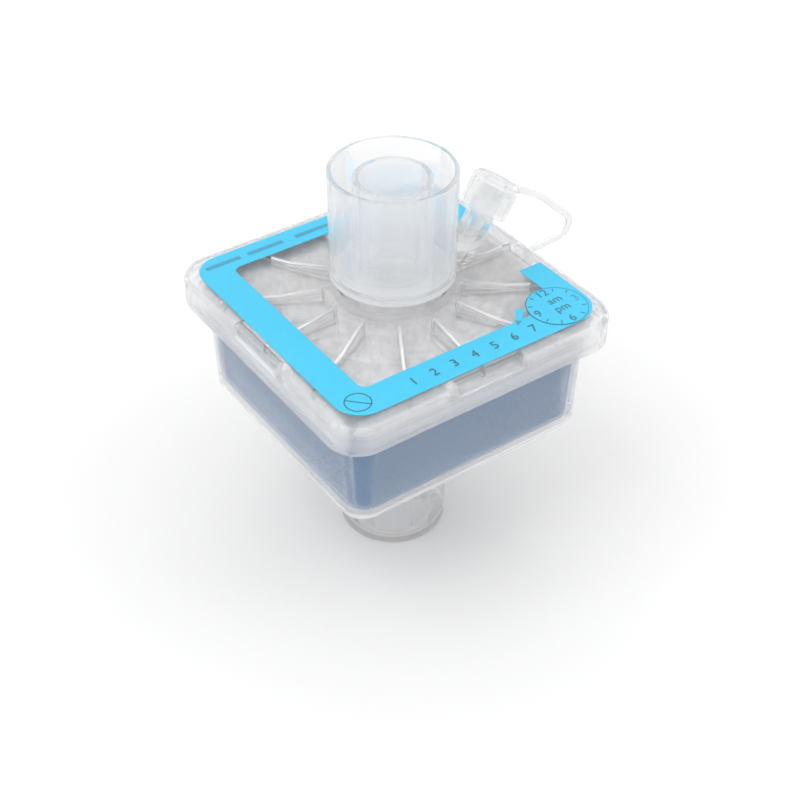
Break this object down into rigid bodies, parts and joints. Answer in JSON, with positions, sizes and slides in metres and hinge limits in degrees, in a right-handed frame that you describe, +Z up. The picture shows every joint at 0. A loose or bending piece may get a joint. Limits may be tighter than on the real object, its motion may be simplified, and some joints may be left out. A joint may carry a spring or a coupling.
{
  "type": "breathing circuit filter",
  "caption": "Clear square breathing circuit filter with a coaxial upper port, a lower port, a foam block and a tilted sampling port with a strapped cap.",
  "frame": {"origin": "middle of the lower port's end face, on the port axis", "axes": "+Z up the port axis to the upper port; +X to the side of the lid that carries the cap's strap; the sampling port leans toward +X"},
  "size_m": [0.0756, 0.0622, 0.0845],
  "materials": {
    "clear_housing": "clear, gloss",
    "clear_cap": "clear, soft gloss",
    "filter_pad": "pressed fibres, matt",
    "foam": "fine open foam, matt",
    "blue_print": "printed ink, satin",
    "dark_ink": "printed ink, satin"
  },
  "bodies": {
    "housing": {"upper_housing": "clear_housing", "lower_housing": "clear_housing", "filter_media": "filter_pad", "hme_foam": "foam", "cap_strap": "clear_cap"},
    "cap": {"port_cap": "clear_cap"}
  },
  "joints": [
    {"name": "cap_lift", "type": "slide", "parent": "housing", "child": "cap", "axis": [0.5373, 0, 0.8434], "range_m": [0, 0.012], "deforming": ["cap_strap"]}
  ]
}
